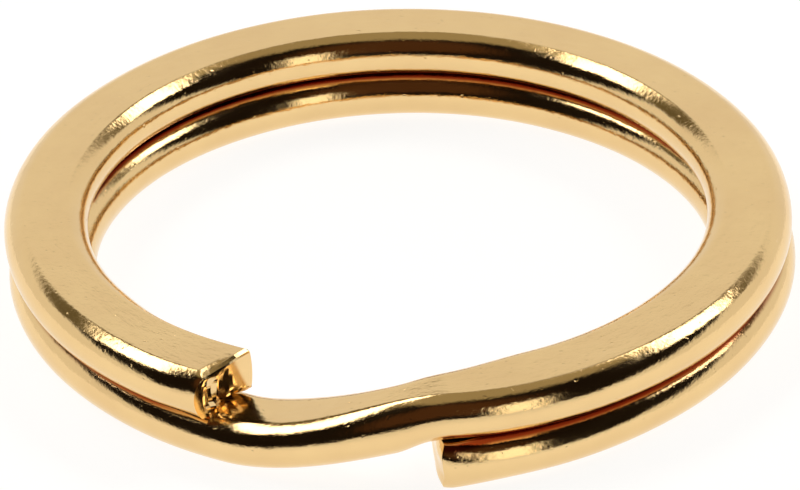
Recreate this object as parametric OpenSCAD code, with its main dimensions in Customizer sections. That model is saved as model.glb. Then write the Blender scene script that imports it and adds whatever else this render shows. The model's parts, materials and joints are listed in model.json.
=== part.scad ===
// Split key ring: one flattened spring wire wound into two turns.
// Angles run around the ring from the front (-Y) towards the right (+X).
// Every flex point is a cut square across the wire, so neighbours only twist on each other.

/* [Ring] */
// Outside diameter of the ring
ring_d = 25; // [20:0.5:36]
// Air gap between the two turns
turn_gap = 0.09; // [0.07:0.01:0.2]

/* [Wire] */
// Width of the wire, from the eye to the outside
wire_w = 2.74; // [2.2:0.02:3.2]
// Thickness of one turn
wire_t = 1.47; // [1.2:0.01:1.8]
// How far each round side stands past the flat faces
side_bulge = 0.58; // [0.3:0.01:0.6]

/* [Ends] */
// Angle of the upper turn's free end
upper_end = -27.7; // [-30:0.1:-27]
// Angle of the lower turn's free end
lower_end = 4.2; // [4:0.1:8]
// Slant of the sheared cut on the upper end
upper_slant = 9; // [0:1:14]
// Slant of the sheared cut on the lower end
lower_slant = 2; // [0:1:4]

/* [Crossover] */
// Angle where the wire starts to narrow
cross_from = 30; // [26:1:34]
// Angle where the wire is back to its full section
cross_to = -47; // [-50:1:-47]
// Angle where the wire leaves the upper level
drop_from = 4.9; // [3:0.1:5]
// Angle where the wire reaches the lower level
drop_to = -31; // [-32:1:-30]
// How far the eye side is drawn in at its narrowest
inner_pull = 0.34; // [0:0.02:0.5]
// How far the outside is drawn in at its narrowest
outer_pull = 0.16; // [0:0.02:0.5]
// How much rounder the sides get at the middle
extra_bulge = 0.1; // [0:0.02:0.12]
// How far the underside sags just past the lower turn's end
belly = 0.1; // [0:0.02:0.14]
// Shift of the lower turn to the right
lower_dx = 0.1; // [0:0.02:0.3]
// Shift of the lower turn to the back
lower_dy = 0.02; // [0:0.02:0.3]

/* [Flex] */
// Arc from one flex point to the next
flex_arc = 72; // [70:1:74]
// Running gap between the faces at a flex point
flex_gap = 0.03; // [0.02:0.01:0.06]

/* [Hidden] */

mean_r = (ring_d - wire_w) / 2;
upper_z = wire_t + turn_gap;
flat_w = wire_w - 2 * side_bulge;
gap_angle = flex_gap / mean_r * 180 / PI;
lower_shift = [lower_dx, lower_dy];
gold = [0.86, 0.68, 0.36];
arc_fn = 180;
cross_steps = 42;
side_steps = 7;

// Radius of the round side that stands `bulge` past a face `thick` high.
function side_radius(thick, bulge) = (thick * thick / 4 + bulge * bulge) / (2 * bulge);

// 0 before the start, 1 after the end, with no kink at either.
function ease(t) = let (u = min(max(t, 0), 1)) u * u * (3 - 2 * u);

// A bump of height 1 at `mid` that dies out `reach` to either side.
function bump(angle, mid, reach) =
    abs(angle - mid) < reach ? pow(cos(90 * (angle - mid) / reach), 2) : 0;

// Share of the way down from the upper level to the lower one.
function drop(angle) =
    let (t = (drop_from - angle) / (drop_from - drop_to)) t <= 0 ? 0 : ease(pow(min(t, 1), 0.6));

// The wire's section as a flat drawing, its middle on the origin.
module wire_section() {
    side_r = side_radius(wire_t, side_bulge);
    square([flat_w, wire_t], center = true);
    for (side = [-1, 1])
        intersection() {
            translate([side * wire_w / 4, 0]) square([wire_w / 2, wire_t], center = true);
            translate([side * (wire_w / 2 - side_r), 0]) circle(r = side_r, $fn = arc_fn);
        }
}

// A level stretch of one turn, from one angle up to a larger one.
module arc(from, to, z, shift = [0, 0]) {
    translate([shift[0], shift[1], z + wire_t / 2])
        rotate([0, 0, from - 90])
            rotate_extrude(angle = to - from, $fn = arc_fn)
                translate([mean_r, 0]) wire_section();
}

// An arc between two flex points, with half the running gap taken off each end.
module flex_section(from, to, z, shift = [0, 0]) {
    arc(from + gap_angle / 2, to - gap_angle / 2, z, shift);
}

// What a slanted shear takes off: all past `angle`, in the direction `dir` around the ring.
module shear_waste(angle, slant, dir, z, shift = [0, 0]) {
    translate([shift[0], shift[1], z - 1])
        rotate([0, 0, angle])
            translate([0, -mean_r, 0])
                rotate([0, 0, -slant])
                    translate([dir > 0 ? 0 : -4, -4, 0]) cube([4, 8, wire_t + 2]);
}

// One ring of points across the crossover, at an angle around the ring.
function cross_ring(angle) =
    let (
        level = drop(angle),
        inner = ring_d / 2 - wire_w + inner_pull * bump(angle, 3, 17),
        outer = ring_d / 2 - outer_pull * bump(angle, -15, 32),
        bulge = side_bulge + extra_bulge * bump(angle, -6, 24),
        sag = belly * bump(angle, -2.3, 9),
        thick = wire_t + sag,
        half_w = (outer - inner) / 2,
        mid_r = (outer + inner) / 2,
        mid_z = upper_z * (1 - level) + (wire_t - sag) / 2,
        side_r = side_radius(thick, bulge),
        sweep = asin(thick / 2 / side_r)
    )
    [for (side = [1, -1], i = [0 : side_steps])
        let (
            a = sweep * (1 - 2 * i / side_steps) * side,
            r = mid_r + side * (half_w - side_r + side_r * cos(a))
        )
        [
            r * sin(angle) + lower_dx * level,
            -r * cos(angle) + lower_dy * level,
            mid_z + side_r * sin(a)
        ]];

function cross_angle(i) = cross_from + (cross_to - cross_from) * i / cross_steps;

module upper_end_tip() {
    color(gold)
        difference() {
            arc(upper_end - flex_arc + gap_angle / 2, upper_end + 4, upper_z);
            shear_waste(upper_end, upper_slant, 1, upper_z);
        }
}

module upper_left_arc() {
    color(gold) flex_section(upper_end - 2 * flex_arc, upper_end - flex_arc, upper_z);
}

module upper_back_arc() {
    color(gold) flex_section(upper_end - 3 * flex_arc, upper_end - 2 * flex_arc, upper_z);
}

module upper_right_arc() {
    color(gold) flex_section(upper_end - 4 * flex_arc, upper_end - 3 * flex_arc, upper_z);
}

module upper_front_arc() {
    color(gold) arc(cross_from, upper_end + 360 - 4 * flex_arc - gap_angle / 2, upper_z);
}

// The joggle that takes the wire from the upper turn down into the lower one.
module crossover_bend() {
    count = 2 * (side_steps + 1);
    points = [for (i = [0 : cross_steps]) each cross_ring(cross_angle(i))];
    walls = [
        for (i = [0 : cross_steps - 1], j = [0 : count - 1])
            let (k = (j + 1) % count)
            each [
                [i * count + j, (i + 1) * count + j, (i + 1) * count + k],
                [i * count + j, (i + 1) * count + k, i * count + k]
            ]
    ];
    first_cap = [[for (j = [0 : count - 1]) j]];
    last_cap = [[for (j = [count - 1 : -1 : 0]) cross_steps * count + j]];
    color(gold) polyhedron(points, concat(walls, first_cap, last_cap));
}

module lower_front_arc() {
    color(gold)
        arc(lower_end - 360 + 4 * flex_arc + gap_angle / 2, cross_to, 0, lower_shift);
}

module lower_left_arc() {
    color(gold)
        flex_section(lower_end + 3 * flex_arc, lower_end + 4 * flex_arc, 0, lower_shift);
}

module lower_back_arc() {
    color(gold)
        flex_section(lower_end + 2 * flex_arc, lower_end + 3 * flex_arc, 0, lower_shift);
}

module lower_right_arc() {
    color(gold) flex_section(lower_end + flex_arc, lower_end + 2 * flex_arc, 0, lower_shift);
}

module lower_end_tip() {
    color(gold)
        difference() {
            arc(lower_end - 4, lower_end + flex_arc - gap_angle / 2, 0, lower_shift);
            shear_waste(lower_end, lower_slant, -1, 0, lower_shift);
        }
}

upper_end_tip();
upper_left_arc();
upper_back_arc();
upper_right_arc();
upper_front_arc();
crossover_bend();
lower_front_arc();
lower_left_arc();
lower_back_arc();
lower_right_arc();
lower_end_tip();
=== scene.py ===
import json
import math

import bpy
import numpy as np
from mathutils import Matrix, Vector


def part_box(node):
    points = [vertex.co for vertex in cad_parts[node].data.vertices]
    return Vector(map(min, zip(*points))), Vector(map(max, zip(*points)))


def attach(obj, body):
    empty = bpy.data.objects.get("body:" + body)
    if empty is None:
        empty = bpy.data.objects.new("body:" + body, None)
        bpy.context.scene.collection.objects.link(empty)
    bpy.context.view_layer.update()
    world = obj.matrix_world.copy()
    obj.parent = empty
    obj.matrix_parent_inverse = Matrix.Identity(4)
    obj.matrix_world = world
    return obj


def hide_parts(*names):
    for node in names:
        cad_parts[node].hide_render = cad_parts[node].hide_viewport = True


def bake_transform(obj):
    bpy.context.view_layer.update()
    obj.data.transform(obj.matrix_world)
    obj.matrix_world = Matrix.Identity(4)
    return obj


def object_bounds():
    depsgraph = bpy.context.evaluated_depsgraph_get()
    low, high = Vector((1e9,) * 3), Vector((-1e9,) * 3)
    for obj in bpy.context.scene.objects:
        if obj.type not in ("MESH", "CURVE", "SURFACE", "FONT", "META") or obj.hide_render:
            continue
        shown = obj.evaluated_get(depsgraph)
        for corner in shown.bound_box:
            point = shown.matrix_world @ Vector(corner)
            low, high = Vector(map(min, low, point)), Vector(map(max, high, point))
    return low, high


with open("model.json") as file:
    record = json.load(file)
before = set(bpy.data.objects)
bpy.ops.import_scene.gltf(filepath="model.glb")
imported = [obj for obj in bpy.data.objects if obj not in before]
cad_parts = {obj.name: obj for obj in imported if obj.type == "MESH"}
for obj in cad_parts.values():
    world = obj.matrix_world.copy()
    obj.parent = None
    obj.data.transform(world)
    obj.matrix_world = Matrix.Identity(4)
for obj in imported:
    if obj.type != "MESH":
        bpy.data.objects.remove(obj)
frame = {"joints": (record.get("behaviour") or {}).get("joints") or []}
cad_lo, cad_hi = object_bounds()

MM = 0.001

# ---------------------------------------------------------------- sizes, in mm, read from the CAD frame
joints = {j["name"]: j for j in frame["joints"]}


def hinge_angle(name):
    """Angle around the ring of a flex point: 0 at the front, growing to the right."""
    axis = joints[name]["axis"]
    return math.degrees(math.atan2(axis[1], axis[0]))


def hinge_point(name):
    return Vector(joints[name]["pos_m"]) / MM


tip_lo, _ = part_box("upper_end_tip")
low_lo, low_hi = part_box("lower_left_arc")
ring_r = -tip_lo.x / MM
wire_t = (low_hi.z - low_lo.z) / MM
upper_z = tip_lo.z / MM
mean_r = hinge_point("upper_turn_lift").xy.length
wire_w = 2 * (ring_r - mean_r)
low_axis = Vector(joints["lower_turn_lift"]["axis"])
lower_shift = hinge_point("lower_turn_lift").xy - mean_r * Vector((low_axis.y, -low_axis.x))

# ---------------------------------------------------------------- the wire's course, in degrees from end A
# The wire's angle falls all the way from end A (upper turn) to end B (lower turn).
turn = 360.0
flex_arc = 72.0
end_a = hinge_angle("upper_tip_flex") + flex_arc
end_b = hinge_angle("lower_tip_flex") - flex_arc - 2 * turn
upper_flex = [end_a - flex_arc * i for i in (1, 2, 3, 4)]
lower_flex = [end_b + flex_arc * i for i in (4, 3, 2, 1)]

plate = 0.075          # the drawn wire is this much thicker than the CAD's, so that the turns all but touch
side_bulge = 0.62      # how far the round sides stand past the flat faces
edge_r = 0.45          # radius between a flat face and a round side
BACK_SHIFT = Vector((0.09, -0.09))      # how much further the lower turn is shifted at the back

# crossover; its angles are counted from the front, and a pair is the middle and the reach of a change
drop_from, drop_to = 7.5, -27.0         # where the wire leaves the upper level and reaches the lower one
cross_from, cross_to = 31.0, -50.0      # the stretch that has a shape of its own
SAG = 0.25                              # how far the underside sags
SAG_FROM, SAG_RISE, SAG_REACH = 4.2, 5.5, 24        # where that starts, is full and dies out
NECK_IN, NECK_IN_AT = 0.50, (0, 22)     # how far the eye side is drawn in
NECK_OUT, NECK_OUT_AT = 0.16, (-15, 32)             # and the outside
SWELL_AT = (-10, 28)                    # where the sides and edges are rounder
SWELL_BULGE, SWELL_EDGE = 0.10, 0.15    # and how much

# the sheared ends, in mm of wire
SQUARE_A, SQUEEZE_A = 6.0, 2.0          # how far from end A its eye side is squared and its outside squeezed
SQUARE_B, PINCH_B = 3.0, 1.7            # the same for end B's lower and upper sides

# out of round: the eye at the left and right; the lower turn in front, and where it dips in at the right
EYE_OVAL, LOWER_OVAL, LOWER_DIP, LOWER_DIP_AT = 0.06, 0.12, 0.09, (78, 35)

# the small unevenness of wire that was rolled and coiled: (rate, size, start) of slow sines
INNER_WAVES = ((2.7, 0.018, 0.4), (5.3, 0.010, 2.0), (11.0, 0.004, 1.1))
OUTER_WAVES = ((2.2, 0.012, 1.7), (6.1, 0.008, 0.3), (13.0, 0.004, 2.6))


def ease(t):
    u = np.clip(t, 0, 1)
    return u * u * (3 - 2 * u)


def bump(angle, middle, reach):
    near = np.clip(np.abs(angle - middle) / reach, 0, 1)
    return np.cos(near * math.pi / 2) ** 2


def wave(angle, parts):
    """A sum of slow sines."""
    return sum(size * np.sin(np.radians(angle) * rate + start) for rate, size, start in parts)


def mm_from(a, end):
    """Length of wire between angle a and an end, in mm."""
    return np.abs(end - a) * math.radians(1) * mean_r


def close_to(a, end, reach):
    """1 at a wire end, falling to 0 over `reach` mm of wire."""
    return ease(1 - mm_from(a, end) / reach)


def course(a):
    """What the section is like at wire angle a: one array for each of its measures."""
    c = a + turn
    inside = (c < cross_from) & (c > cross_to)
    level = ease((drop_from - c) / (drop_from - drop_to))
    # just past end B the underside sags in front of its corner
    fade = np.where(c < 0, bump(c, 0, SAG_REACH), 1)
    sag = np.where(inside, SAG * ease((SAG_FROM - c) / SAG_RISE) * fade, 0)
    swell = np.where(inside, bump(c, *SWELL_AT), 0)
    inner = ring_r - wire_w + np.where(inside, NECK_IN * bump(c, *NECK_IN_AT), 0)
    outer = ring_r - np.where(inside, NECK_OUT * bump(c, *NECK_OUT_AT), 0)
    inner = inner + EYE_OVAL * np.sin(np.radians(a)) ** 4
    inner = inner + wave(a, INNER_WAVES)
    outer = outer + wave(a, OUTER_WAVES)
    outer = outer + LOWER_OVAL * level * np.cos(np.radians(4 * a)) * np.cos(np.radians(a / 2)) ** 2
    outer = outer - LOWER_DIP * level * bump(a + 2 * turn, *LOWER_DIP_AT)
    # towards end A the eye side is pressed square, and the shear has squeezed the outside in
    square_a, squeeze_a = close_to(a, end_a, SQUARE_A), close_to(a, end_a, SQUEEZE_A)
    # towards end B both sides are pressed squarer
    square_b, pinch_b = close_to(a, end_b, SQUARE_B), close_to(a, end_b, PINCH_B)
    bulge = side_bulge + SWELL_BULGE * swell
    edge = edge_r + SWELL_EDGE * swell
    return dict(
        level=level,
        sag=sag,
        inner=inner + 0.30 * square_a,
        outer=outer - 0.15 * squeeze_a,
        bulge_in=bulge - (side_bulge - 0.09) * square_a,
        bulge_out=bulge - 0.10 * squeeze_a - 0.30 * pinch_b,
        bulge_low=bulge - 0.34 * squeeze_a - 0.30 * square_b,
        edge_in=edge - (edge_r - 0.06) * square_a,
        edge_out=edge - 0.15 * squeeze_a - 0.30 * pinch_b,
        edge_low=edge - 0.36 * squeeze_a - 0.28 * square_b,
    )


# ---------------------------------------------------------------- section
FLAT_STEPS, EDGE_STEPS, SIDE_STEPS = 7, 7, 11


def quarter(half_w, half_t, bulge, edge):
    """Points of a quarter of the section, from the middle of the flat to the middle of the side."""
    side_r = (half_t ** 2 + bulge ** 2) / (2 * bulge)
    centre = half_w - side_r
    reach = np.sqrt(np.maximum((side_r - edge) ** 2 - (half_t - edge) ** 2, 0))
    edge_x = centre + reach
    meet = np.arctan2(half_t - edge, reach)
    across, up = [], []
    for i in range(FLAT_STEPS):
        across.append(edge_x * i / FLAT_STEPS)
        up.append(half_t + 0 * edge_x)
    for i in range(EDGE_STEPS):
        b = math.pi / 2 + (meet - math.pi / 2) * i / EDGE_STEPS
        across.append(edge_x + edge * np.cos(b))
        up.append(half_t - edge + edge * np.sin(b))
    for i in range(SIDE_STEPS + 1):
        b = meet * (1 - i / SIDE_STEPS)
        across.append(centre + side_r * np.cos(b))
        up.append(side_r * np.sin(b))
    return np.stack(across, -1), np.stack(up, -1)


def section(a):
    """The section's points at each wire angle, as (across, up) from the wire's middle, and its measures."""
    m = course(a)
    half_w = (m["outer"] - m["inner"]) / 2
    half_t = (wire_t + plate + m["sag"]) / 2
    x, z = quarter(half_w, half_t, m["bulge_out"], m["edge_out"])
    x_low, z_low = quarter(half_w, half_t, m["bulge_low"], m["edge_low"])
    x_in, z_in = quarter(half_w, half_t, m["bulge_in"], m["edge_in"])
    across = np.concatenate([x, x_low[:, -2::-1], -x_in[:, 1:], -x_in[:, -2:0:-1]], 1)
    up = np.concatenate([z, -z_low[:, -2::-1], -z_in[:, 1:], z_in[:, -2:0:-1]], 1)
    return across, up, m


def place(a, across, up, m, along):
    """Places, in mm, of section points at wire angle a that are moved `along` mm down the wire."""
    mid_r = (m["outer"] + m["inner"])[:, None] / 2
    angle = np.radians(a)[:, None] - along / mid_r
    level = m["level"][:, None]
    mid_z = upper_z * (1 - level) + (wire_t + plate - m["sag"][:, None]) / 2
    r = mid_r + across
    # the lower turn sits a little to the right, more so at the back
    behind = (1 - np.cos(angle)) / 2
    x = r * np.sin(angle) + (lower_shift.x + BACK_SHIFT.x * behind) * level
    y = -r * np.cos(angle) + (lower_shift.y + BACK_SHIFT.y * behind) * level
    return np.stack([x, y, mid_z + up], -1)


# ---------------------------------------------------------------- sheared ends
def ridge(x, *marks):
    """A folded line through (x, height) marks."""
    return np.interp(x, [m[0] for m in marks], [m[1] for m in marks])


def shear_a(across, up):
    """How far end A's cut stands back along the wire, in mm. Across grows towards the outside."""
    high = wire_t / 2
    cut = 0.306 * (across + 0.95) - 0.15
    # the last part to shear off tore into upright folds, deepest half way down
    folds = ridge(across, (-0.20, 0.0), (-0.12, 0.05), (-0.06, 0.0), (0.04, 0.12), (0.30, 0.02),
                  (0.42, 0.24), (0.55, 0.05), (0.62, 0.14), (0.74, 0.0))
    depth = np.clip((high - 0.16 - up) / 0.20, 0, 1) * np.clip((up + high) / 0.3, 0.25, 1)
    sway = ridge(across, (-0.2, 0), (-0.02, 0.7), (0.10, -1), (0.32, -0.9), (0.5, 0.8), (0.8, 0))
    lean = 0.20 * np.clip(up / high, -1, 1) * sway
    # the lower edge broke away in a ragged line
    line = ridge(across, (-1.2, -0.66), (-0.85, -0.50), (-0.62, -0.34), (-0.5, -0.48), (-0.36, -0.26),
                 (-0.2, -0.5), (-0.05, -0.40), (0.15, -0.68), (0.4, -0.58), (0.7, -0.9))
    broken = np.clip(line - up, 0, 0.4) * 1.2
    rim = np.clip(up - (high - 0.04), 0, 1) * 1.8
    return cut + folds * depth + lean * depth * 0.45 + broken + rim


def shear_b(across, up):
    """How far end B's cut stands back along the wire, in mm."""
    rolled = 0.09 * (np.abs(up) / (wire_t / 2)) ** 4 + 0.13 * np.clip(across / (wire_w / 2), 0, 1) ** 3
    folds = 0.022 * np.sin(6.5 * up + 1.5 * across + 0.4) + 0.006 * np.sin(14 * up - 2.0 * across + 1)
    return rolled + folds


# ---------------------------------------------------------------- meshes
TOP_HALF = FLAT_STEPS + EDGE_STEPS          # steps from the middle of the top to the corner of a cut's grid
CAP_V = 1.8                                 # a cut takes its plating from half way down the wire's side


def cap_grid(ring):
    """A grid of (across, up) that fills a ring of section points, and which ring point each rim cell is."""
    count = len(ring)
    cols, rows = 2 * TOP_HALF, 2 * SIDE_STEPS
    index = np.full((cols + 1, rows + 1), -1)
    for i in range(cols + 1):
        index[i, rows] = (i - TOP_HALF) % count
        index[i, 0] = (count // 2 - (i - TOP_HALF)) % count
    for j in range(rows + 1):
        index[cols, j] = (TOP_HALF + rows - j) % count
        index[0, j] = (-TOP_HALF - rows + j) % count
    u = np.linspace(0, 1, cols + 1)[:, None, None]
    v = np.linspace(0, 1, rows + 1)[None, :, None]
    left, right = ring[index[0, :]][None], ring[index[cols, :]][None]
    low, top = ring[index[:, 0]][:, None], ring[index[:, rows]][:, None]
    corners = ((1 - u) * (1 - v) * ring[index[0, 0]] + u * (1 - v) * ring[index[cols, 0]]
               + (1 - u) * v * ring[index[0, rows]] + u * v * ring[index[cols, rows]])
    return (1 - u) * left + u * right + (1 - v) * low + v * top - corners, index


def mesh_piece(name, rings, normals, uv, cap_start=None, cap_end=None):
    """A closed solid through rings of points. Each end is one flat face, or the grid of points of a cap."""
    n, count = len(rings), len(rings[0])
    verts = [tuple(p) for p in np.concatenate(rings)]
    faces = []
    for i in range(n - 1):
        for j in range(count):
            k = (j + 1) % count
            faces.append((i * count + j, i * count + k, (i + 1) * count + k, (i + 1) * count + j))
    walls = len(faces)
    for cap, first, flip in ((cap_start, 0, True), (cap_end, (n - 1) * count, False)):
        if cap is None:
            face = [first + j for j in range(count)]
            faces.append(tuple(face[::-1] if flip else face))
            continue
        points, index = cap
        number = np.where(index >= 0, index + first, -1)
        for i, j in zip(*np.where(index < 0)):
            number[i, j] = len(verts)
            verts.append(tuple(points[i, j]))
        for i in range(number.shape[0] - 1):
            for j in range(number.shape[1] - 1):
                face = [number[i, j], number[i + 1, j], number[i + 1, j + 1], number[i, j + 1]]
                faces.append(tuple(int(f) for f in (face if flip else face[::-1])))
    mesh = bpy.data.meshes.new(name)
    mesh.from_pydata([tuple(c * MM for c in p) for p in verts], [], faces)
    mesh.polygons.foreach_set("use_smooth", [True] * len(faces))
    layer = mesh.uv_layers.new(name="wire")
    uvs = np.zeros((len(mesh.loops), 2))
    corner = 0
    for i in range(n - 1):
        for j in range(count):
            for di, dj in ((0, 0), (0, 1), (1, 1), (1, 0)):
                uvs[corner] = (uv[0][i + di], uv[1][j + dj])
                corner += 1
    for poly in mesh.polygons[walls:]:
        for loop in poly.loop_indices:
            x, y, z = verts[mesh.loops[loop].vertex_index]
            uvs[loop] = (uv[0][0] + z, CAP_V + 0.3 * math.sin(x + y))
    layer.data.foreach_set("uv", uvs.ravel())
    mesh.update()
    obj = bpy.data.objects.new(name, mesh)
    bpy.context.scene.collection.objects.link(obj)
    corner_normals = np.zeros((len(mesh.loops), 3))
    corner_vertex = np.zeros(len(mesh.loops), int)
    mesh.loops.foreach_get("vertex_index", corner_vertex)
    corner_normals[:walls * 4] = normals[corner_vertex[:walls * 4]]
    for poly in mesh.polygons[walls:]:
        for loop in poly.loop_indices:
            corner_normals[loop] = poly.normal
    mesh.normals_split_custom_set([tuple(v) for v in corner_normals])
    return obj


PLAIN_STEP, CROSS_STEP, END_STEP = 1.2, 0.8, 0.22       # degrees from one ring of points to the next
END_REACH, END_GROWTH = 7, 0.14                         # near an end the step grows by this much per degree


def wire_angles(start, stop):
    """Wire angles from start down to stop, closer together at the sheared ends and at the crossover."""
    marks = [start]
    while marks[-1] > stop + 1e-6:
        a = marks[-1]
        near_end = min(abs(a - end_a), abs(a - end_b))
        step = PLAIN_STEP
        if cross_from + 1 > a + turn > cross_to:
            step = CROSS_STEP
        if near_end < END_REACH:
            step = END_STEP + END_GROWTH * near_end
        marks.append(max(a - step, stop))
    if len(marks) > 2 and marks[-2] - marks[-1] < 0.05:
        del marks[-2]
    return np.array(marks)


CUT_REACH = 1.3        # how far down the wire a cut's shape is felt, in mm
DENT_REACH = 0.45      # and the dents that the shear left beside it


def cut_slide(a, across, up):
    """How far each point slides down the wire so that the last ring is the rim of the cut."""
    near_a = np.clip(1 - mm_from(a, end_a) / CUT_REACH, 0, 1)[:, None]
    near_b = np.clip(1 - mm_from(a, end_b) / CUT_REACH, 0, 1)[:, None]
    return shear_a(across, up) * near_a ** 2 - shear_b(across, up) * near_b ** 2


def cut_dent(a, across, up):
    """How far the shear has rolled end B's outside in, and pressed the top down at end A's outer corner."""
    near_a = np.clip(1 - mm_from(a, end_a) / DENT_REACH, 0, 1)[:, None] ** 2
    near_b = np.clip(1 - mm_from(a, end_b) / DENT_REACH, 0, 1)[:, None] ** 2
    down = 0.09 * near_a * np.clip((across + 0.6) / 1.0, 0, 1) * np.clip(up / (wire_t / 2), 0, 1) ** 2
    inward = 0.10 * near_b * np.clip(across / (wire_w / 2), 0, 1)
    return inward, down


def wire_points(a):
    across, up, m = section(a)
    inward, down = cut_dent(a, across, up)
    return place(a, across - inward, up - down, m, cut_slide(a, across, up))


def wire_normals(a):
    """Outward directions of the wire's surface, from small steps along and around it."""
    step = 0.05
    down_wire = wire_points(a - step) - wire_points(a + step)
    here = wire_points(a)
    around = np.roll(here, -1, 1) - np.roll(here, 1, 1)
    normal = np.cross(around, down_wire)
    return normal / np.linalg.norm(normal, axis=-1, keepdims=True)


def cut_cap(a_end):
    """The grid of points of a cut, matching the last ring of the wire."""
    a = np.array([a_end])
    across, up, m = section(a)
    grid, index = cap_grid(np.stack([across[0], up[0]], -1))
    x, z = grid[..., 0].ravel()[None], grid[..., 1].ravel()[None]
    inward, down = cut_dent(a, x, z)
    points = place(a, x - inward, z - down, m, cut_slide(a, x, z))
    return points[0].reshape(grid.shape[0], grid.shape[1], 3), index


def wire_piece(name, start, stop):
    """The wire from one angle down to another. Its UVs are mm along the wire and around it from the top."""
    a = wire_angles(start, stop)
    across, up, _ = section(np.array([start]))
    outline = np.stack([across[0], up[0]], -1)
    lengths = np.linalg.norm(np.diff(np.vstack([outline, outline[:1]]), axis=0), axis=1)
    v = np.concatenate([[0], np.cumsum(lengths)])
    u = (end_a - a) * math.radians(1) * mean_r
    cap_start = cut_cap(start) if start == end_a else None
    cap_end = cut_cap(stop) if stop == end_b else None
    normals = wire_normals(a).reshape(-1, 3)
    return mesh_piece(name, list(wire_points(a)), normals, (u, v), cap_start, cap_end)


# ---------------------------------------------------------------- pieces: seams lie between flex points
seams = [
    end_a,
    (upper_flex[0] + upper_flex[1]) / 2,
    (upper_flex[1] + upper_flex[2]) / 2,
    (upper_flex[2] + upper_flex[3]) / 2,
    upper_flex[3] - 34,
    lower_flex[0] + 34,
    (lower_flex[0] + lower_flex[1]) / 2,
    (lower_flex[1] + lower_flex[2]) / 2,
    (lower_flex[2] + lower_flex[3]) / 2,
    end_b,
]
PIECES = [
    ("wire_upper_end", "upper_tip_flex", ["upper_end_tip"]),
    ("wire_upper_left", "upper_left_flex", ["upper_left_arc"]),
    ("wire_upper_back", "upper_turn_lift", ["upper_back_arc"]),
    ("wire_upper_right", "upper_front_flex", ["upper_right_arc", "upper_front_arc"]),
    ("wire_crossover", None, ["crossover_bend"]),
    ("wire_lower_front", "lower_front_flex", ["lower_front_arc"]),
    ("wire_lower_left", "lower_left_flex", ["lower_left_arc"]),
    ("wire_lower_back", "lower_turn_lift", ["lower_back_arc"]),
    ("wire_lower_end", "lower_tip_flex", ["lower_right_arc", "lower_end_tip"]),
]


# ---------------------------------------------------------------- gold plating
def link(tree, source, target):
    tree.links.new(source, target)


def noise(tree, vector, scale, detail, roughness, distortion=0.0):
    n = tree.nodes.new("ShaderNodeTexNoise")
    n.inputs["Scale"].default_value = scale
    n.inputs["Detail"].default_value = detail
    n.inputs["Roughness"].default_value = roughness
    n.inputs["Distortion"].default_value = distortion
    link(tree, vector, n.inputs["Vector"])
    return n


def stretched(tree, vector, scale):
    m = tree.nodes.new("ShaderNodeMapping")
    m.inputs["Scale"].default_value = scale
    link(tree, vector, m.inputs["Vector"])
    return m.outputs["Vector"]


def calc(tree, operation, a, b):
    m = tree.nodes.new("ShaderNodeMath")
    m.operation = operation
    link(tree, a, m.inputs[0])
    link(tree, b, m.inputs[1])
    return m.outputs["Value"]


def rise(tree, value, start, stop):
    """0 at start, 1 at stop, smooth between; start may be the larger."""
    r = tree.nodes.new("ShaderNodeMapRange")
    r.interpolation_type = "SMOOTHSTEP"
    low, high = min(start, stop), max(start, stop)
    r.inputs["From Min"].default_value = low
    r.inputs["From Max"].default_value = high
    r.inputs["To Min"].default_value = 0.0 if stop > start else 1.0
    r.inputs["To Max"].default_value = 1.0 if stop > start else 0.0
    link(tree, value, r.inputs["Value"])
    return r.outputs["Result"]


def relief(tree, height, depth, below=None):
    """A bump of `depth` mm, over the relief below it."""
    b = tree.nodes.new("ShaderNodeBump")
    b.inputs["Strength"].default_value = 1.0
    b.inputs["Distance"].default_value = depth * MM
    link(tree, height, b.inputs["Height"])
    if below is not None:
        link(tree, below, b.inputs["Normal"])
    return b.outputs["Normal"]


def map_range(tree, value, start, stop, low=0.0, high=1.0):
    r = tree.nodes.new("ShaderNodeMapRange")
    r.inputs["From Min"].default_value, r.inputs["From Max"].default_value = start, stop
    r.inputs["To Min"].default_value, r.inputs["To Max"].default_value = low, high
    link(tree, value, r.inputs["Value"])
    return r.outputs["Result"]


def girth():
    """Length around the section, in mm, where it is plain."""
    across, up, _ = section(np.array([upper_flex[1]]))
    outline = np.stack([across[0], up[0]], -1)
    return float(np.linalg.norm(outline - np.roll(outline, 1, 0), axis=1).sum())


ONE_TURN = 2 * math.pi * mean_r
GIRTH = girth()
PALE_GOLD, DEEP_GOLD = (0.88, 0.625, 0.300, 1), (0.83, 0.575, 0.275, 1)
# painted shade: the dark red colour painted into the groove between the turns
GROOVE_SHADE_RED = (0.30, 0.060, 0.022, 1)
FLAT_EDGE = (0.60, 0.80)                    # around the wire, in mm from the middle of a flat: the painted groove shade starts
TOP_GROOVE, UNDER_GROOVE = (1.16, 0.92), (2.50, 2.85)        # and ends on the lower and on the upper turn
RIPPLE_DEPTH, GRAIN_DEPTH, SPECK_DEPTH = 0.011, 0.005, 0.005


def mirrored(limits):
    """The same two places on the other side of the wire."""
    return tuple(GIRTH - limit for limit in limits)


def flat_edges(tree, *sides):
    """1 on the edges of a flat, 0 elsewhere: where the groove shade is painted. A side is (around, where the
    painted shade ends, the flat's middle).
    """
    parts = []
    for around, limits, middle in sides:
        way = 1 if max(limits) > middle else -1
        inner = rise(tree, around, *[middle + way * edge for edge in FLAT_EDGE])
        parts.append(calc(tree, "MULTIPLY", rise(tree, around, *limits), inner))
    return calc(tree, "MAXIMUM", *parts)


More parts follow.
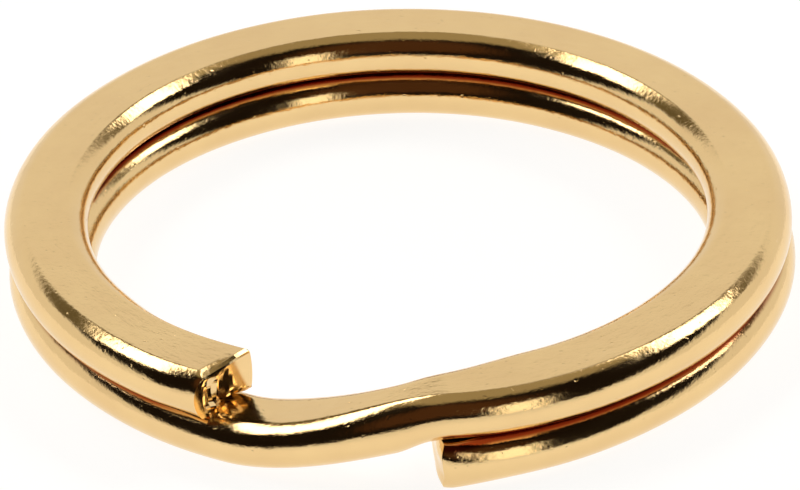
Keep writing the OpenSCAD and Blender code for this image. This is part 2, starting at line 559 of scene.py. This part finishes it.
def gold_material():
    mat = bpy.data.materials.new("gold_plate")
    mat.use_nodes = True
    tree = mat.node_tree
    tree.nodes.clear()
    out = tree.nodes.new("ShaderNodeOutputMaterial")
    bsdf = tree.nodes.new("ShaderNodeBsdfPrincipled")
    link(tree, bsdf.outputs["BSDF"], out.inputs["Surface"])
    bsdf.inputs["Metallic"].default_value = 1.0

    uv_map = tree.nodes.new("ShaderNodeUVMap")
    uv_map.uv_map = "wire"
    uv = uv_map.outputs["UV"]

    # colour: slow patches of paler and redder gold
    patches = noise(tree, tree.nodes.new("ShaderNodeTexCoord").outputs["Object"], 420.0, 3.0, 0.55)
    ramp = tree.nodes.new("ShaderNodeValToRGB")
    for element, position, colour in zip(ramp.color_ramp.elements, (0.30, 0.72), (DEEP_GOLD, PALE_GOLD)):
        element.position, element.color = position, colour
    link(tree, patches.outputs["Fac"], ramp.inputs["Fac"])

    # painted shade: a dark red base colour in the groove between the turns stands in for the dark gold that
    # is mirrored in gold there
    separate = tree.nodes.new("ShaderNodeSeparateXYZ")
    link(tree, uv, separate.inputs["Vector"])
    along, around = separate.outputs["X"], separate.outputs["Y"]
    # painted groove shade on the edges of the lower turn's top, past end A
    top = flat_edges(tree, (around, TOP_GROOVE, 0.0), (around, mirrored(TOP_GROOVE), GIRTH))
    lower_top_shade = calc(tree, "MULTIPLY", top, rise(tree, along, ONE_TURN + 0.4, ONE_TURN + 2.5))
    # painted groove shade on the edges of the upper turn's underside, up to the crossover
    under = flat_edges(tree, (around, mirrored(UNDER_GROOVE), GIRTH / 2), (around, UNDER_GROOVE, GIRTH / 2))
    upper_under_shade = calc(tree, "MULTIPLY", under, rise(tree, along, ONE_TURN - 6.0, ONE_TURN - 8.0))
    groove_shade = tree.nodes.new("ShaderNodeMix")
    groove_shade.data_type = "RGBA"
    link(tree, calc(tree, "MAXIMUM", lower_top_shade, upper_under_shade), groove_shade.inputs["Factor"])
    link(tree, ramp.outputs["Color"], groove_shade.inputs[6])
    groove_shade.inputs[7].default_value = GROOVE_SHADE_RED
    link(tree, groove_shade.outputs[2], bsdf.inputs["Base Color"])

    # roughness: plated metal, a little hazier in places
    haze = noise(tree, stretched(tree, uv, (0.5, 2.2, 1)), 1.0, 4.0, 0.6)
    link(tree, map_range(tree, haze.outputs["Fac"], 0.3, 0.75, 0.07, 0.15), bsdf.inputs["Roughness"])

    # relief: rolling ripple, fine grain, and a few specks under the plating
    ripple = noise(tree, stretched(tree, uv, (1.3, 2.6, 1)), 1.0, 2.0, 0.5)
    grain = noise(tree, stretched(tree, uv, (7.0, 9.0, 1)), 1.0, 4.0, 0.6, 0.3)
    specks = noise(tree, stretched(tree, uv, (4.5, 5.5, 1)), 1.0, 1.0, 0.4)
    normal = relief(tree, ripple.outputs["Fac"], RIPPLE_DEPTH)
    normal = relief(tree, grain.outputs["Fac"], GRAIN_DEPTH, normal)
    normal = relief(tree, map_range(tree, specks.outputs["Fac"], 0.70, 0.80), SPECK_DEPTH, normal)
    link(tree, normal, bsdf.inputs["Normal"])
    return mat


gold = gold_material()

for i, (name, flex, nodes) in enumerate(PIECES):
    obj = wire_piece(name, seams[i], seams[i + 1])
    obj.data.materials.append(gold)
    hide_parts(*nodes)
    if flex is None:
        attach(obj, "crossover")
        continue
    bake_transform(obj)


# ---------------------------------------------------------------- floor and light
TABLE_SIZE = 3.0                        # metres
TABLE_DROP = 0.00002                    # how far the table lies under the ring, in metres
NEAR_GLOW, FRONT_GLOW = 0.89, 0.72      # its own light around the ring, and far in front of it
TABLE_GREY = 0.24                       # and how much of other light it returns


def light_table(name, size):
    """A glowing white table, brightest around the ring and falling off towards the dark side of the room."""
    mat = bpy.data.materials.new(name)
    mat.use_nodes = True
    tree = mat.node_tree
    tree.nodes.clear()
    out = tree.nodes.new("ShaderNodeOutputMaterial")
    add = tree.nodes.new("ShaderNodeAddShader")
    xyz = tree.nodes.new("ShaderNodeSeparateXYZ")
    link(tree, tree.nodes.new("ShaderNodeTexCoord").outputs["Object"], xyz.inputs["Vector"])
    fall = rise(tree, xyz.outputs["Y"], cad_lo.y * 2.4, cad_lo.y * 1.12)
    glow = map_range(tree, fall, 0.0, 1.0, FRONT_GLOW, NEAR_GLOW)
    emit = tree.nodes.new("ShaderNodeEmission")
    emit.inputs["Color"].default_value = (1.0, 0.995, 0.985, 1)
    link(tree, glow, emit.inputs["Strength"])
    matte = tree.nodes.new("ShaderNodeBsdfDiffuse")
    matte.inputs["Color"].default_value = (TABLE_GREY, TABLE_GREY, TABLE_GREY, 1)
    link(tree, emit.outputs["Emission"], add.inputs[0])
    link(tree, matte.outputs["BSDF"], add.inputs[1])
    link(tree, add.outputs["Shader"], out.inputs["Surface"])
    mesh = bpy.data.meshes.new(name)
    h = size / 2
    mesh.from_pydata([(-h, -h, 0), (h, -h, 0), (h, h, 0), (-h, h, 0)], [], [(0, 1, 2, 3)])
    obj = bpy.data.objects.new(name, mesh)
    obj.location.z = cad_lo.z - TABLE_DROP
    obj.data.materials.append(mat)
    bpy.context.scene.collection.objects.link(obj)


light_table("light_table", TABLE_SIZE)

# Directions from the ring: x to the right, y to the back, z up. The white sweep behind runs up into
# the back wall, a pale ceiling hangs over it, and the side the camera stands on is a dark room.
ROOM = (0.010, 0.007, 0.005, 1)
# colour and strength of each light
WARM_WALL = (1.0, 0.45, 0.2), 0.07
CEILING = (1.0, 0.88, 0.58), 0.36
STRIP = (1.0, 0.96, 0.85), 1.5
SWEEP = (1.0, 0.985, 0.955), 0.86
FLAG = (1.0, 0.85, 0.5), 0.13
SOFTBOX = (1.0, 0.98, 0.94), 4.0
# hand (-1 left, 1 right), the softbox's near and far edges, and the far edge of the dark flag beyond it
SOFTBOXES = ((-1, 33.0, 50.5, 74.0), (1, 42.0, 58.0, 71.0))
VIEW_LEVEL = math.cos(math.radians(32))         # the level part of the direction the ring is looked at from

world = bpy.data.worlds.new("studio")
bpy.context.scene.world = world
world.use_nodes = True
wt = world.node_tree
wt.nodes.clear()
w_out = wt.nodes.new("ShaderNodeOutputWorld")
w_bg = wt.nodes.new("ShaderNodeBackground")
link(wt, w_bg.outputs["Background"], w_out.inputs["Surface"])
w_dir = wt.nodes.new("ShaderNodeTexCoord")


def side_of(x, y, z, offset, soft):
    """1 on one side of an edge in the surroundings, 0 on the other, soft across it."""
    dot = wt.nodes.new("ShaderNodeVectorMath")
    dot.operation = "DOT_PRODUCT"
    link(wt, w_dir.outputs["Generated"], dot.inputs[0])
    dot.inputs[1].default_value = (x, y, z)
    return rise(wt, dot.outputs["Value"], -offset - soft, -offset + soft)


def all_of(*parts):
    result = parts[0]
    for part in parts[1:]:
        result = calc(wt, "MULTIPLY", result, part)
    return result


def layer(below, light, mask):
    """Puts a light, given as (colour, strength), over what is below, where mask is 1."""
    colour, strength = light
    mix = wt.nodes.new("ShaderNodeMix")
    mix.data_type = "RGBA"
    link(wt, mask, mix.inputs["Factor"])
    link(wt, below, mix.inputs[6])
    mix.inputs[7].default_value = (*[c * strength for c in colour], 1)
    return mix.outputs[2]


def facing(degrees, beyond, soft):
    """What upright surfaces mirror if they face further right of the front than this, or less far."""
    t = math.radians(degrees)
    sign = 1 if beyond else -1
    return side_of(sign * math.cos(t), sign * math.sin(t), 0, -sign * VIEW_LEVEL * math.sin(t), soft)


room = wt.nodes.new("ShaderNodeRGB")
room.outputs[0].default_value = ROOM
lit = room.outputs[0]
lit = layer(lit, WARM_WALL, all_of(side_of(0, -0.75, 0.66, -0.86, 0.08), side_of(0, 0, 1, -0.3, 0.1)))
lit = layer(lit, CEILING, side_of(0, 0.28, 0.96, -0.885, 0.05))
strip = all_of(facing(12.5, True, 0.04), facing(20.5, False, 0.04),
               side_of(0, -1, 0, 0, 0.05), side_of(0, 0, -1, 0.60, 0.05))
lit = layer(lit, STRIP, strip)
sweep = calc(wt, "MAXIMUM", side_of(0, 0.565, -1, 0.327, 0.04), side_of(0, 0, -1, 0.03, 0.03))
lit = layer(lit, SWEEP, sweep)
for hand, near_edge, far_edge, dark_edge in SOFTBOXES:
    inner_edge = facing(hand * near_edge, hand > 0, 0.02)
    outer_edge = facing(hand * far_edge, hand < 0, 0.03)
    flag_edge = facing(hand * dark_edge, hand < 0, 0.06)
    lower_edge = side_of(-0.61 * hand, 0.51, 0.605, 0.0, 0.03)
    lit = layer(lit, FLAG, all_of(inner_edge, flag_edge, lower_edge, side_of(0, -0.565, 1, -0.16, 0.04)))
    lit = layer(lit, SOFTBOX, all_of(inner_edge, outer_edge, lower_edge, side_of(0, -0.565, 1, -0.335, 0.02)))
link(wt, lit, w_bg.inputs["Color"])
w_bg.inputs["Strength"].default_value = 1.0

bpy.context.scene.view_settings.view_transform = "Standard"
bpy.context.scene.view_settings.look = "None"

# ---------------------------------------------------------------- camera
CAM_ELEVATION = math.radians(31.97)
CAM_DISTANCE = 150 * MM
CAM_ROLL = math.radians(-1.44)
CAM_LENS = 210.7
CAM_AIM = Vector((0.05, 0.48, 0.77)) * MM

cam_data = bpy.data.cameras.new("camera")
cam_data.lens = CAM_LENS
cam_data.sensor_width = 36
cam_data.clip_start, cam_data.clip_end = 0.01, 10
cam = bpy.data.objects.new("camera", cam_data)
bpy.context.scene.collection.objects.link(cam)
position = Vector((0, -math.cos(CAM_ELEVATION), math.sin(CAM_ELEVATION))) * CAM_DISTANCE
back = (position - CAM_AIM).normalized()
right = Vector((0, 0, 1)).cross(back).normalized()
up = back.cross(right)
turn_right = right * math.cos(CAM_ROLL) + up * math.sin(CAM_ROLL)
turn_up = up * math.cos(CAM_ROLL) - right * math.sin(CAM_ROLL)
cam.matrix_world = Matrix((
    (turn_right.x, turn_up.x, back.x, position.x),
    (turn_right.y, turn_up.y, back.y, position.y),
    (turn_right.z, turn_up.z, back.z, position.z),
    (0, 0, 0, 1),
))
bpy.context.scene.camera = cam
